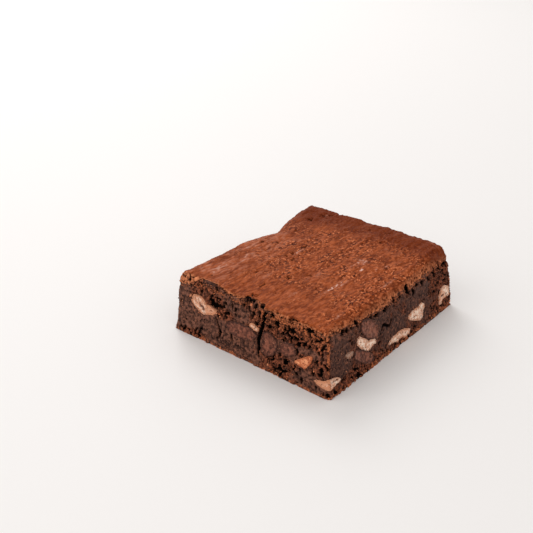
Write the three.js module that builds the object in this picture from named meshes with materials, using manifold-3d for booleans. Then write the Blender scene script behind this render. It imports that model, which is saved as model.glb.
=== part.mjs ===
// A cut square of chocolate brownie with nut pieces and chocolate chunks in the crumb.
// Millimetres, +Z up. The origin is the middle of the flat base, +Y runs along the longer cut side.
// The block leans in towards its crust, which rolls over the rim. Two sides are knife cuts that
// show nuts and chunks, and the back is the scalloped side that baked against the tin.
import * as THREE from "three";
import { ImprovedNoise } from "three/addons/math/ImprovedNoise.js";
import { mergeVertices } from "three/addons/utils/BufferGeometryUtils.js";
import Module from "manifold-3d";

const wasm = await Module();
wasm.setup();

// Driving dimensions
const HEIGHT = 25.6;
const BASE = { left: -37.9, right: 38.2, front: -45.6, back: 45.7 };
const TOP = { left: -37.2, right: 34.6, front: -42.9, back: 45.5 };
const RIM_DROP = { left: 3.0, right: 3.9, front: 1.1, back: 2.0 };
const RIM_RUN = { left: 3.6, right: 4.6, front: 1.5, back: 2.8 };
const CORNER_RADIUS = 1.0;
const NOTCH = { y: 13.5, reach: 9.5, recess: 3.6, dip: 2.7, inwards: 8 };
const PIECE_GAP = 0.3;
const PIECE_PROUD = 0.25;

// How finely the block is divided, with the cells closer together at its edges, and the lumps
const CELLS = { x: 20, y: 26, z: 8 };
const CROWDING = 1.35;
const CHUNK_CELLS = [16, 6];
const HOLE_CELLS = [7, 4];
const WEDGE_STEPS = 4;

const COLOURS = { crumb: 0x3a2620, nut: 0xd9ab85, skin: 0xb5683a, chocolate: 0x4a322b };

const { clamp, lerp, degToRad } = THREE.MathUtils;
const noise = new ImprovedNoise();
const bell = (value, centre, width) => Math.exp(-(((value - centre) / width) ** 2));
const crowd = (share) => Math.sign(share) * (1 - (1 - Math.abs(share)) ** CROWDING);

// How much of the broken notch in the left side is left at a place along it, 1 at the notch itself
const notch = (y) => Math.exp(-Math.abs(y - NOTCH.y) / NOTCH.reach);

// The crust's height before its rim rolls down: nearly level, with a dip behind the notch,
// higher at the back right, and wrinkled along Y.
function crustHeight(x, y) {
  const lift = 1.4 * bell(x, 22, 28) * bell(y, 44, 22);
  const dip = NOTCH.dip * notch(y) * bell(x, TOP.left, NOTCH.inwards);
  const folds = 0.55 * noise.noise(x * 0.11, y * 0.045, 3.7);
  const wrinkles = 0.3 * noise.noise(x * 0.3, y * 0.12, 8.2);
  return HEIGHT - 0.25 + lift - dip + folds + wrinkles;
}

// The round drop of the rim at a distance in from a side
function rimDrop(distance, side) {
  const out = 1 - Math.min(distance, RIM_RUN[side]) / RIM_RUN[side];
  return RIM_DROP[side] * (1 - Math.sqrt(1 - out * out));
}

const sideLumps = (along, share, slice) => 0.8 * noise.noise(along * 0.17, share * 4.1, slice);

// How far each side stands out of its straight line, at a place along it and a share of the height.
// The left swells below the crust and has the notch, and the back has lobes of batter. On the right
// the crust's lip hangs over a groove, the corner at the back is broken off near the top, and the
// one at the front is worn.
const STAND_OUT = {
  left(along, share) {
    const swelling = 0.9 * bell(share, 0.75, 0.2);
    return sideLumps(along, share, 21.2) + swelling - NOTCH.recess * notch(along) * share ** 2;
  },
  front: (along, share) => 0.6 * sideLumps(along, share, 26.5),
  back(along, share) {
    const lobe = Math.abs(Math.sin((along + 1) * (Math.PI / 16.5))) ** 0.5;
    return sideLumps(along, share, 23.9) + share ** 2 * (1.3 * lobe - 1.0 + 0.02 * along);
  },
  right(along, share) {
    const broken = 2.4 * share ** 4 * bell(along, 46, 11) + 0.5 * bell(along, -46, 5);
    const lip = 0.5 * bell(share, 0.87, 0.05) - 0.7 * bell(share, 0.77, 0.05);
    return 0.5 * sideLumps(along, share, 27.4) + lip * bell(along, 4, 40) - broken + 0.006 * along;
  },
};

// Pulls a point in the square corner of an outline onto a round one
function roundCorner(x, y, outline) {
  const insideX = clamp(x, outline.left + CORNER_RADIUS, outline.right - CORNER_RADIUS);
  const insideY = clamp(y, outline.front + CORNER_RADIUS, outline.back - CORNER_RADIUS);
  const [dx, dy] = [x - insideX, y - insideY];
  const length = Math.hypot(dx, dy);
  if (length === 0) return [x, y];
  const kept = Math.max(Math.abs(dx), Math.abs(dy)) / length;
  return [insideX + dx * kept, insideY + dy * kept];
}

// Where a point of the unit box, -1 to 1 across and 0 to 1 up, lies on the brownie
function blockPoint(a, b, c) {
  const share = 1 - (1 - c) ** CROWDING;
  const outline = {};
  for (const side of Object.keys(BASE)) outline[side] = lerp(BASE[side], TOP[side], share);
  const [acrossX, acrossY] = [(crowd(a) + 1) / 2, (crowd(b) + 1) / 2];
  const nearX = lerp(outline.left, outline.right, acrossX);
  const nearY = lerp(outline.front, outline.back, acrossY);
  const [x, y] = roundCorner(nearX, nearY, outline);
  const standOut = (side, weight, along) => weight ** 6 * STAND_OUT[side](along, share);
  const shiftX = standOut("right", acrossX, y) - standOut("left", 1 - acrossX, y);
  const shiftY = standOut("back", acrossY, x) - standOut("front", 1 - acrossY, x);
  const drops = [
    rimDrop(nearX - outline.left, "left"),
    rimDrop(outline.right - nearX, "right"),
    rimDrop(nearY - outline.front, "front"),
    rimDrop(outline.back - nearY, "back"),
  ];
  return [x + shiftX, y + shiftY, share * (crustHeight(x, y) - Math.hypot(...drops))];
}

function blockGeometry() {
  const geometry = new THREE.BoxGeometry(2, 2, 1, CELLS.x, CELLS.y, CELLS.z).translate(0, 0, 0.5);
  const position = geometry.getAttribute("position");
  for (let i = 0; i < position.count; i++)
    position.setXYZ(i, ...blockPoint(position.getX(i), position.getY(i), position.getZ(i)));
  return geometry;
}

// A closed geometry as a manifold-3d solid, and back
function solid(geometry) {
  const bare = geometry.clone();
  bare.deleteAttribute("normal");
  bare.deleteAttribute("uv");
  const merged = mergeVertices(bare, 1e-4);
  const vertProperties = merged.getAttribute("position").array;
  const triVerts = new Uint32Array(merged.index.array);
  return new wasm.Manifold(new wasm.Mesh({ numProp: 3, vertProperties, triVerts }));
}

function geometryOf(manifold) {
  const { vertProperties, triVerts } = manifold.getMesh();
  const geometry = new THREE.BufferGeometry();
  geometry.setAttribute("position", new THREE.BufferAttribute(vertProperties, 3));
  geometry.setIndex(new THREE.BufferAttribute(triVerts, 1));
  geometry.computeVertexNormals();
  return geometry;
}

// The frame of a cut face at a place along it and up it: local x along, y up, z out of the cake
function onFace(face, along, up) {
  const share = up / HEIGHT;
  const sides = {
    front: [new THREE.Vector3(1, 0, 0), new THREE.Vector3(along, lerp(BASE.front, TOP.front, share), up)],
    right: [new THREE.Vector3(0, 1, 0), new THREE.Vector3(lerp(BASE.right, TOP.right, share), along, up)],
  };
  const [alongAxis, origin] = sides[face];
  const upAxis = new THREE.Vector3(0, 0, 1);
  const outAxis = new THREE.Vector3().crossVectors(alongAxis, upAxis);
  return new THREE.Matrix4().makeBasis(alongAxis, upAxis, outAxis).setPosition(origin);
}

// An uneven rounded lump on a cut face, given by its face, place along and up, half length,
// half height, tilt in degrees and depth into the cake
function lump([face, along, up, halfLength, halfHeight, tilt, depth], grow, bumps, cells) {
  const geometry = new THREE.SphereGeometry(1, ...cells).rotateX(Math.PI / 2);
  const position = geometry.getAttribute("position");
  const p = new THREE.Vector3();
  for (let i = 0; i < position.count; i++) {
    p.fromBufferAttribute(position, i);
    p.multiplyScalar(1 + bumps * noise.noise(p.x * 1.7 + along, p.y * 1.7 + up, p.z * 1.7));
    position.setXYZ(i, p.x * (halfLength + grow), p.y * (halfHeight + grow), p.z * (depth + grow));
  }
  return solid(geometry.rotateZ(degToRad(tilt)).applyMatrix4(onFace(face, along, up)));
}

// An outline's points moved outwards, so that each of its edges moves out by the distance
function grown(outline, distance) {
  const points = outline.map(([along, up]) => new THREE.Vector2(along, up));
  const outOf = (from, to) => new THREE.Vector2(to.y - from.y, from.x - to.x).normalize();
  return points.map((point, i) => {
    const before = outOf(points.at(i - 1), point);
    const after = outOf(point, points[(i + 1) % points.length]);
    const stretch = 1 / Math.max(1 + before.dot(after), 0.3);
    return before.add(after).multiplyScalar(stretch * distance).add(point);
  });
}

// A piece that a knife cut flat, with its outline on the cut and its hidden end drawn in
function wedge({ face, outline, depth }, grow) {
  const shape = new THREE.Shape(grown(outline, grow));
  const outside = 2.5;
  const length = outside + depth + grow;
  const extrusion = { depth: length, steps: WEDGE_STEPS, bevelEnabled: false };
  const geometry = new THREE.ExtrudeGeometry(shape, extrusion);
  geometry.translate(0, 0, outside - length);
  geometry.computeBoundingBox();
  const middle = geometry.boundingBox.getCenter(new THREE.Vector3());
  const position = geometry.getAttribute("position");
  for (let i = 0; i < position.count; i++) {
    const buried = Math.max(0, -position.getZ(i)) / (depth + grow);
    const kept = 1 - 0.55 * buried ** 2;
    position.setX(i, lerp(middle.x, position.getX(i), kept));
    position.setY(i, lerp(middle.y, position.getY(i), kept));
  }
  geometry.translate(0, -middle.y, 0);
  return solid(geometry.applyMatrix4(onFace(face, 0, middle.y)));
}

const union = (solids) => solids.reduce((whole, next) => whole.add(next));

// The nut pieces that the knife cut through: face, depth and their pocket's outline on the cut,
// counterclockwise as seen from outside
const NUTS = {
  nut_front_long: [{
    face: "front",
    depth: 5,
    outline: [
      [-31.4, 18], [-30.5, 15.4], [-28.9, 13.4], [-26.8, 12.3], [-25.2, 11.7], [-23.4, 11.4], [-21, 12.3],
      [-19, 12.6], [-17.4, 14.1], [-16.9, 15.3], [-19.9, 16.1], [-22.4, 16.1], [-24.4, 18], [-27.6, 18.6],
      [-29.4, 18.1], [-30.1, 16.8],
    ],
  }],
  nut_front_small: [{
    face: "front",
    depth: 3,
    outline: [[-1.2, 15.4], [0.1, 14.3], [3, 14.2], [3.5, 15.8], [1.6, 16.4], [0.3, 17.1], [-0.9, 16.4]],
  }],
  nut_front_skinned: [{
    face: "front",
    depth: 4.5,
    outline: [
      [20.6, 9.3], [22, 8.5], [24.4, 8.3], [25.6, 7.8], [26.8, 9.6], [28, 11.4], [28.5, 14.6],
      [26.2, 13.6], [22, 10.5],
    ],
  }],
  nut_corner: [{
    face: "front",
    depth: 3.6,
    outline: [
      [30, 5.4], [31.8, 4.4], [33.7, 3.9], [36, 3.5], [40, 3.4], [40, 7.7], [36, 7.4], [33.9, 6.6], [31, 6.1],
    ],
  }, {
    face: "right",
    depth: 3.2,
    outline: [
      [-48, 3.6], [-45.3, 3.8], [-42.1, 4.5], [-39, 4.6], [-37.8, 5.6], [-39.6, 7.1], [-42.3, 7.8],
      [-45, 8.1], [-48, 7.8],
    ],
  }],
  nut_right_heart: [{
    face: "right",
    depth: 4.5,
    outline: [
      [-26.1, 15.8], [-26.4, 13.5], [-24.6, 11.7], [-22.9, 9.9], [-21.5, 8.5], [-19.5, 7.7], [-18, 8.2],
      [-16, 8.9], [-13.8, 9.2], [-14.2, 10.9], [-17, 11.9], [-18.8, 11.8], [-20, 13.3], [-22.8, 15.2],
      [-24.4, 16.5],
    ],
  }],
  nut_right_low: [{
    face: "right",
    depth: 4,
    outline: [
      [-5.4, 4.3], [-4.6, 3.6], [-3, 3.7], [-0.9, 3.3], [1.4, 2.2], [2.4, 2.8], [4.6, 2.8], [6.6, 1.8],
      [8.8, 1.7], [10.3, 2.1], [11.1, 3.9], [7.3, 5.6], [4.9, 6.2], [2.8, 6.2], [0.8, 5.8], [-1.8, 6],
      [-3.8, 5.6],
    ],
  }],
  nut_right_split: [{
    face: "right",
    depth: 5,
    outline: [
      [9.5, 8.8], [11, 7.6], [14, 6], [17, 4.8], [19.4, 3.9], [21.3, 5], [21.6, 7], [23, 8.4], [22.4, 10.3],
      [20.8, 11.4], [17.8, 10.6], [15.2, 10.9], [13, 10.6], [10.8, 10.1],
    ],
  }],
  nut_right_far: [{
    face: "right",
    depth: 5,
    outline: [
      [34.5, 4.3], [36.9, 4], [37.6, 5.4], [40.3, 5.5], [43.4, 5.6], [43.6, 9.4], [39.5, 11.4],
      [37.2, 10.5], [36.2, 9], [34.2, 7.9], [35, 6.2],
    ],
  }],
  nut_right_chip: [{
    face: "right",
    depth: 2.5,
    outline: [
      [-34.5, 12.8], [-33.4, 11.5], [-31.5, 10.6], [-29.6, 11.1], [-28.8, 12.6], [-30.8, 13.3], [-33, 13.7],
    ],
  }],
};

// The chocolate chunks, smoother than the crumb round them: most are rounded, and one was cut flat
const ROUND_CHUNKS = {
  chunk_front_wide: ["front", -4.6, 11.9, 7.6, 3.2, 4, 6],
  chunk_front_oval: ["front", 17.0, 12.8, 4.2, 2.7, 20, 5],
  chunk_right_smeared: ["right", -17.6, 16.6, 7.4, 3.6, -38, 6],
  chunk_right_low: ["right", -22.6, 7.2, 8.0, 2.5, -33, 6],
};
const CUT_CHUNKS = {
  chunk_front_shield: [{
    face: "front",
    depth: 5,
    outline: [
      [5.4, 6.9], [8, 6.2], [10.8, 7.3], [12.3, 9.8], [12.7, 12.2], [12.1, 14.1], [9.1, 15.5], [7.2, 16.1],
      [5.4, 15.2],
    ],
  }],
};

// Cracks down the front: the line's points along and up the face, its greatest width and its depth
const CRACKS = [
  { line: [[-17.4, 12.2], [-16.2, 9.8], [-14.7, 7.2], [-15.2, 3.8]], width: 1.4, depth: 5 },
  { line: [[5.0, 21.8], [4.8, 18], [4.1, 14.4], [3.5, 10.8], [4.1, 7.6], [4.5, 4]], width: 1.9, depth: 6 },
];

// Air holes under the crust and in the crumb
const HOLES = [
  ["front", -3.6, 24.0, 2.2, 1.6, -10, 4],
  ["front", -18.8, 17.9, 2.4, 1.9, 0, 3],
  ["front", -9.0, 6.5, 0.7, 1.4, 15, 3],
  ["front", 16.9, 7.6, 1.6, 1.5, 0, 3],
  ["front", 17.6, 24.2, 2.6, 0.9, 8, 3],
  ["right", -25.4, 22.4, 1.3, 1.0, 0, 4],
  ["right", 0.0, 21.0, 1.0, 1.0, 0, 3],
  ["right", 9.9, 21.4, 1.4, 1.6, 0, 4],
  ["right", 13.9, 18.2, 0.8, 1.7, 12, 3],
  ["right", 36.6, 21.8, 1.1, 1.4, 0, 3],
];

// A crack's solid: its outline tapers to a point at both ends and runs straight into the face
function crackSolid({ line, width, depth }) {
  const centre = new THREE.SplineCurve(line.map(([along, up]) => new THREE.Vector2(along, up)));
  const steps = 3 * line.length;
  const [near, far] = [[], []];
  for (let i = 0; i <= steps; i++) {
    const point = centre.getPoint(i / steps);
    const half = (width / 2) * Math.sin(Math.PI * clamp(i / steps, 0.04, 0.96)) ** 0.6;
    near.push(new THREE.Vector2(point.x - half, point.y));
    far.unshift(new THREE.Vector2(point.x + half, point.y));
  }
  const outline = new THREE.Shape([...near, ...far]);
  const geometry = new THREE.ExtrudeGeometry(outline, { depth: depth * 2, bevelEnabled: false });
  const [, middleUp] = line[Math.floor(line.length / 2)];
  geometry.translate(0, -middleUp, -depth);
  return solid(geometry.applyMatrix4(onFace("front", 0, middleUp)));
}

// The block, less a pocket for each piece, and each piece out to just proud of the cut
const block = solid(blockGeometry());
const envelope = block.add(solid(blockGeometry().translate(PIECE_PROUD, -PIECE_PROUD, 0)));
const meshes = [];
let pockets = null;

function addMesh(name, manifold, colour, roughness) {
  const material = new THREE.MeshStandardMaterial({ color: colour, roughness, metalness: 0 });
  const mesh = new THREE.Mesh(geometryOf(manifold), material);
  mesh.name = name;
  meshes.push(mesh);
}

// Cuts a pocket into the block's face, and makes the piece in it with a small gap all round
function addPiece(name, shapeOf, colour, roughness) {
  const whole = envelope.intersect(shapeOf(-PIECE_GAP));
  addMesh(name, pockets ? whole.subtract(pockets) : whole, colour, roughness);
  pockets = pockets ? pockets.add(shapeOf(0)) : shapeOf(0);
}

for (const [name, wedges] of Object.entries({ ...NUTS, ...CUT_CHUNKS })) {
  const shapeOf = (grow) => union(wedges.map((piece) => wedge(piece, grow)));
  if (name in CUT_CHUNKS) addPiece(name, shapeOf, COLOURS.chocolate, 0.45);
  else addPiece(name, shapeOf, name.includes("skinned") ? COLOURS.skin : COLOURS.nut, 0.6);
}
for (const [name, place] of Object.entries(ROUND_CHUNKS))
  addPiece(name, (grow) => lump(place, grow, 0.3, CHUNK_CELLS), COLOURS.chocolate, 0.45);

const holes = HOLES.map((hole) => lump(hole, 0, 0.35, HOLE_CELLS));
addMesh("crumb", block.subtract(union([pockets, ...CRACKS.map(crackSolid), ...holes])), COLOURS.crumb, 0.8);

// The group, moved so that the origin is under the middle of the whole
const brownie = new THREE.Group();
brownie.add(...meshes);
const bounds = new THREE.Box3().setFromObject(brownie);
const middle = bounds.getCenter(new THREE.Vector3());
for (const mesh of meshes) mesh.position.set(-middle.x, -middle.y, -bounds.min.z);

export default brownie;
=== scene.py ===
"""A cut square of chocolate brownie: moist crumb, a thin satin crust, nuts and chunks of chocolate."""

import math

import bmesh
import bpy
import numpy as np
from mathutils import Euler, Matrix, Vector, kdtree, noise


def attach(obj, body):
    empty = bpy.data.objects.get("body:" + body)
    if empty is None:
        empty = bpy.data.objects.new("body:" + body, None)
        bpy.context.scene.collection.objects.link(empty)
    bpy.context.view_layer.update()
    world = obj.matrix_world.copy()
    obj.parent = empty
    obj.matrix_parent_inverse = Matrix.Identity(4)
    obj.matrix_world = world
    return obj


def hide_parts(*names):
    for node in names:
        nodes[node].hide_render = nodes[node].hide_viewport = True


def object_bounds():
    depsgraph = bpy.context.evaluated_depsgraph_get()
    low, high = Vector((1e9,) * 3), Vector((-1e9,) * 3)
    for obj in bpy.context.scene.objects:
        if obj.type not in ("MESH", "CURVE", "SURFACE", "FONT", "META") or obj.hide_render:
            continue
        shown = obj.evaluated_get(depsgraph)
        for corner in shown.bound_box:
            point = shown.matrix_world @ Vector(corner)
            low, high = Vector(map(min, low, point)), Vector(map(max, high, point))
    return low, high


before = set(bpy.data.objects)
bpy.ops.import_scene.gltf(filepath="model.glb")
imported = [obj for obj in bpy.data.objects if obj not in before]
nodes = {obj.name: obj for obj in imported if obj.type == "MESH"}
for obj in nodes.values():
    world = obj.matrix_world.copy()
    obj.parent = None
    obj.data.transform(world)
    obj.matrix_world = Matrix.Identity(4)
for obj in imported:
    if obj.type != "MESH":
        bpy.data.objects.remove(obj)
box_low, box_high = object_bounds()

# The crumb
# The block was baked in a tin and cut with a knife, so two of its sides show fudgy places that the
# blade smeared, crumbly places full of pores, and a few cracks. Its top stays hidden by the crust.

# Lengths are in millimetres, other than the lamps' and the camera's
MM = 0.001
CRUMB_CELL = 0.3
MOST_TRIANGLES = 196_000
CRUST_CLEARANCE = 0.85

# Every vertex stays this far inside the CAD box
BOX_GAP = 0.01

# The high corner at the back left: its round, how far in it lies, and the heights that it grows between
CORNER_ROUND = 5.0
CORNER_INSET = 1.0
CORNER_HEIGHTS = (6, 20)

# The worn upright corner: a slice's height, how deep its crest and its edge reach, and its half width
EDGE_SLICE = 0.5
CREST_REACH = 0.1
EDGE_REACH = 1.0
EDGE_WIDTH = 0.3

# Coarse and fine grains, how far apart pores lie, and the share of the grains that dropped out
COARSE_GRAIN = 0.95
FINE_GRAIN = 0.6
PORE_SPACING = 1.6
COARSE_DROPPED = 0.28
FINE_DROPPED = 0.2

# Spreads the middles of neighbouring grains over the random cells that give each grain its number
LUCK_SPREAD = 13.7

# A mark keeps its full strength up to the first share of its half width, and is gone at the second
MARK_FADE = (0.55, 1.25)

# How far in a surface no longer counts as part of a side, and how far in it still fully does
SIDE_FADE = (4, 3)

# Surfaces that face neither outwards nor up sink no further than this
INNER_SINK = 0.2

# Without a seed, Blender's noise vectors start from the clock and differ each run
NOISE_SEED = 4
noise.seed_set(NOISE_SEED)

low, high = (np.array(corner) / MM for corner in (box_low, box_high))
HEIGHT = high[2]

# How far each side leans in over the whole height, and the way each side faces
LEAN = {"front": 2.7, "right": 3.6, "back": 0.5, "left": 0.9}
FACES = np.array([(0, -1, 0), (1, 0, 0), (0, 1, 0), (-1, 0, 0)])
SIDES = list(LEAN)
FRONT, RIGHT = SIDES.index("front"), SIDES.index("right")

# The crust reaches no lower than this on any side, and a line of rusty crumbs runs under it at this height
LOWEST_CRUST = 17.0
RUSTY_LINE = 23.2

# The crust's lower edge on each side: places along the side, and its heights there
CRUST_EDGE = {
    "front": ([-38, -35, -32, -29, -27, -14, 36], [19.8, 20.4, 21.4, 22.3, 23.2, 24.2, 24.4]),
    "right": (
        [-43, -35, -25, -20, -10, 0, 20, 30, 44],
        [24.0, 23.0, 22.0, 21.3, 20.7, 21.0, 21.2, 21.6, 20.6],
    ),
    "back": ([-38, -18, 0, 20, 38], [19.5, 21.6, 20.2, 21.4, 20.4]),
    "left": ([-44, -20, 5, 13, 20, 44], [20.0, 20.8, 19.8, 17.6, 19.8, 20.4]),
}

# How far in from the cut front the crust starts, since the knife crumbled its edge
CRUST_START = (
    [-38, -29, -27, -24, -18, -13, -7, -4, 0, 3, 5, 12, 36],
    [-1, -1, 0.8, 1.8, 1.3, 0.3, 0.4, 2.2, 3.0, 1.6, 0.3, 0.2, 0.3],
)

# Where the sides are crumbly, or below zero smooth and fudgy:
# side, place along it, height, half width, half height and how much
TEXTURE_ZONES = [
    ("front", -28, 8.5, 11, 7, -0.9),
    ("front", -34, 16, 4, 5, -0.6),
    ("front", -6, 4, 9, 5, -0.9),
    ("front", -7, 10, 12, 5, -0.6),
    ("front", 28, 4, 7, 3, -0.7),
    ("front", 26, 15.2, 5, 2, -0.8),
    ("front", -6, 18.5, 4, 3, -0.4),
    ("front", -19, 18, 4.5, 3.5, 0.9),
    ("front", -13, 15, 4, 3, 0.8),
    ("front", 18, 20, 18, 5, 1.0),
    ("front", 15, 5.5, 6, 4, 1.0),
    ("front", 31, 10, 4, 4, 0.5),
    ("front", -28, 1.5, 6, 2, 0.8),
    ("right", -38, 13, 7, 9, -0.7),
    ("right", -12, 16, 10, 5, -0.6),
    ("right", -2, 10, 9, 6, -0.6),
    ("right", 24, 16, 8, 4, -0.3),
    ("right", 36, 16, 9, 7, 0.8),
    ("right", 36, 4, 9, 4, 0.9),
    ("right", -24, 3, 14, 4, 0.9),
    ("right", 2, 1.5, 14, 2, 0.7),
    ("right", -38, 3, 6, 3, 0.6),
]

# Deep holes in the sides: side, place along it, height, half width, half height and depth
DEEP_HOLES = [
    ("front", -3.8, 24.4, 1.0, 1.3, 1.8),
    ("front", -1.6, 25.6, 1.1, 1.3, 1.8),
    ("front", 0.7, 23.8, 0.7, 1.0, 1.5),
    ("front", 3.1, 24.6, 0.9, 0.7, 1.4),
    ("front", 5.4, 21.8, 0.8, 1.6, 1.8),
    ("front", 8.7, 23.3, 0.9, 0.8, 1.6),
    ("front", 11.1, 21.0, 0.9, 1.0, 1.8),
    ("front", 8.2, 18.4, 0.7, 0.6, 1.2),
    ("front", 25.6, 23.6, 1.3, 0.8, 1.6),
    ("front", 21.6, 16.3, 1.1, 0.9, 1.8),
    ("front", 21.4, 13.5, 0.7, 0.9, 1.4),
    ("front", 14.8, 15.4, 0.7, 0.6, 1.3),
    ("front", 12.1, 18.2, 0.6, 0.7, 1.2),
    ("front", 15.1, 3.4, 0.9, 0.8, 1.4),
    ("front", 22.3, 4.6, 0.8, 0.7, 1.3),
    ("front", 29.4, 7.9, 0.6, 1.1, 1.6),
    ("front", 24.8, 3.2, 0.7, 0.6, 1.2),
    ("front", 31.2, 3.0, 0.6, 0.5, 1.2),
    ("front", -20.5, 19.0, 0.5, 0.9, 1.6),
    ("front", -19.0, 17.4, 0.5, 1.1, 1.7),
    ("front", -17.3, 17.2, 0.5, 1.0, 1.6),
    ("front", -16.0, 17.8, 0.5, 0.9, 1.4),
    ("front", -12.8, 19.8, 0.5, 0.8, 1.3),
    ("front", -9.9, 20.1, 0.4, 0.9, 1.3),
    ("front", -8.4, 19.0, 0.5, 1.0, 1.4),
    ("front", -11.8, 16.2, 1.0, 0.5, 1.5),
    ("front", -8.0, 17.0, 0.5, 0.8, 1.4),
    ("front", -16.4, 13.7, 0.7, 0.6, 1.4),
    ("front", -9.0, 13.8, 0.8, 0.4, 1.1),
    ("front", -25.1, 3.6, 0.4, 1.3, 1.2),
    ("front", -24.0, 4.8, 0.4, 0.7, 1.0),
    ("front", -32.5, 2.4, 0.5, 0.9, 1.1),
    ("right", -41.4, 23.2, 0.7, 0.5, 1.2),
    ("right", -33.9, 22.2, 1.1, 0.7, 1.7),
    ("right", -31.5, 21.8, 1.1, 0.9, 2),
    ("right", -29, 21.7, 0.7, 0.6, 1.6),
    ("right", -17.1, 20.3, 1.6, 0.9, 1.9),
    ("right", -12.4, 20.2, 1.5, 0.8, 1.9),
    ("right", -6.5, 19.9, 1.5, 0.9, 2),
    ("right", 4.3, 20.4, 1.0, 0.9, 1.6),
    ("right", 17.6, 20.4, 0.9, 0.8, 1.7),
    ("right", 21.2, 19.4, 0.8, 1.3, 1.8),
    ("right", 26.4, 19.2, 1.0, 1.0, 1.9),
    ("right", 31.2, 20.4, 0.9, 1.3, 1.9),
    ("right", 40, 18.4, 1.0, 0.8, 1.0),
]

# Short cracks in the sides: side, half width, depth, and the places along it and heights that each
# runs through
CRACKS = [
    (
        "right",
        0.6,
        1.4,
        [(-9.7, 12.4), (-8.7, 13.6), (-7.2, 13.6), (-5.4, 12.1), (-4.2, 11.6), (-2.5, 13.5)],
    ),
    ("right", 0.6, 1.7, [(10.0, 22.4), (10.5, 19.6)]),
    ("right", 0.45, 1.4, [(14.0, 19.2), (14.3, 16.8)]),
    ("right", 0.45, 1.4, [(-0.3, 21.8), (0.0, 19.9)]),
    ("right", 0.55, 1.5, [(-25.5, 22.4), (-25.2, 20.8)]),
    ("front", 0.4, 1.2, [(-9.2, 8.6), (-8.9, 6.4)]),
    ("front", 0.45, 1.2, [(-24.8, 4.9), (-25.7, 1.9)]),
    ("front", 0.4, 1.0, [(-26.6, 4.2), (-27.3, 2.2)]),
    ("front", 0.4, 1.0, [(24.9, 4.2), (25.0, 1.8)]),
    ("front", 0.35, 0.6, [(6.4, 14.5), (8.8, 13.2), (10.3, 12.2), (9.9, 8.8), (8.9, 6.4)]),
]


def merged_copy(node):
    """A CAD node's mesh with its corners joined, as a bmesh"""
    bm = bmesh.new()
    bm.from_mesh(nodes[node].data)
    bmesh.ops.remove_doubles(bm, verts=bm.verts, dist=1e-6)
    return bm


def new_piece(name, bm):
    """A bmesh as an object of its own in the scene"""
    mesh = bpy.data.meshes.new(name)
    bm.to_mesh(mesh)
    bm.free()
    piece = bpy.data.objects.new(name, mesh)
    bpy.context.scene.collection.objects.link(piece)
    return piece


def bake_modifiers(piece):
    """Gives the piece the mesh that its modifiers make"""
    shaped = piece.evaluated_get(bpy.context.evaluated_depsgraph_get())
    mesh = bpy.data.meshes.new_from_object(shaped)
    piece.modifiers.clear()
    piece.data = mesh


def even_cells(piece, cell):
    """Rebuilds the piece's surface in even faces, cell millimetres across"""
    remesh = piece.modifiers.new("even cells", "REMESH")
    remesh.mode = "VOXEL"
    remesh.voxel_size = cell * MM
    bake_modifiers(piece)


def thin_out(piece, faces):
    """Takes faces out where the surface is flat, down to this many triangles"""
    triangles = sum(len(face.vertices) - 2 for face in piece.data.polygons)
    if triangles > faces:
        decimate = piece.modifiers.new("fewer faces", "DECIMATE")
        decimate.ratio = faces / triangles
        bake_modifiers(piece)


def places_of(mesh):
    """The vertices' places in millimetres, and their normals"""
    places, normals = np.empty(len(mesh.vertices) * 3), np.empty(len(mesh.vertices) * 3)
    mesh.vertices.foreach_get("co", places)
    mesh.vertices.foreach_get("normal", normals)
    return places.reshape(-1, 3) / MM, normals.reshape(-1, 3)


def move_to(mesh, places):
    """Puts the vertices at places in millimetres, kept inside the CAD box"""
    mesh.vertices.foreach_set("co", (np.clip(places, low + BOX_GAP, high - BOX_GAP) * MM).ravel())
    mesh.update()


def paint(mesh, **layers):
    """Keeps values for each vertex under their names, from 0 to 1, for the materials to read"""
    for name, values in layers.items():
        layer = mesh.attributes.new(name, "FLOAT", "POINT")
        layer.data.foreach_set("value", np.clip(values, 0, 1).astype(np.float32))


def ripples(places, size, seed=0.0):
    """Soft random lumps of this size in millimetres, from -1 to 1"""
    return np.array([noise.noise(Vector(p)) for p in places / size + seed])


def crooked(places, size, reach):
    """The places pushed about softly, so that a pattern made from them is less regular"""
    return places + reach * np.array([noise.noise_vector(Vector(p)) for p in places / size])


def grains(places, size, seed=0.0):
    """For grains of this size: how far each place is from the nearest grain's middle, how far it is
    inside that grain's border, from 0 to about 1, and a random number that the whole grain shares"""
    found = np.empty((len(places), 3))
    for i, p in enumerate(places / size + seed):
        distances, middles = noise.voronoi(Vector(p))
        luck = 0.5 + 0.5 * noise.cell(middles[0] * LUCK_SPREAD)
        found[i] = distances[0], distances[1] - distances[0], luck
    near, within, luck = found.T
    return near, np.sqrt(np.clip(within, 0, 1)), luck


def ramp(values, start, end):
    """0 at start and 1 at end, with a smooth way between"""
    share = np.clip((values - start) / (end - start), 0, 1)
    return share * share * (3 - 2 * share)


def bell(values, middle, width):
    """1 at the middle, fading to nothing on both sides"""
    return np.exp(-(((values - middle) / width) ** 2))


def side_depths(places):
    """How deep each place lies inside each side"""
    x, y, z = places.T
    risen = z / HEIGHT
    outermost = (y - low[1], high[0] - x, high[1] - y, x - low[0])
    return np.stack([reach - lean * risen for reach, lean in zip(outermost, LEAN.values())])


def on_sides(places):
    """The nearest side of each place, how deep inside it the place lies, and the place along it"""
    depths = side_depths(places)
    nearest = depths.argmin(axis=0)
    along = np.where(FACES[nearest, 1] != 0, places[:, 0], places[:, 1])
    return nearest, depths.min(axis=0), along


def facing_out(places, normals):
    """How squarely the surface faces out of a side that it lies near, 1 where it faces straight out"""
    return ((normals @ FACES.T) * ramp(side_depths(places).T, *SIDE_FADE)).max(axis=1)


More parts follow.
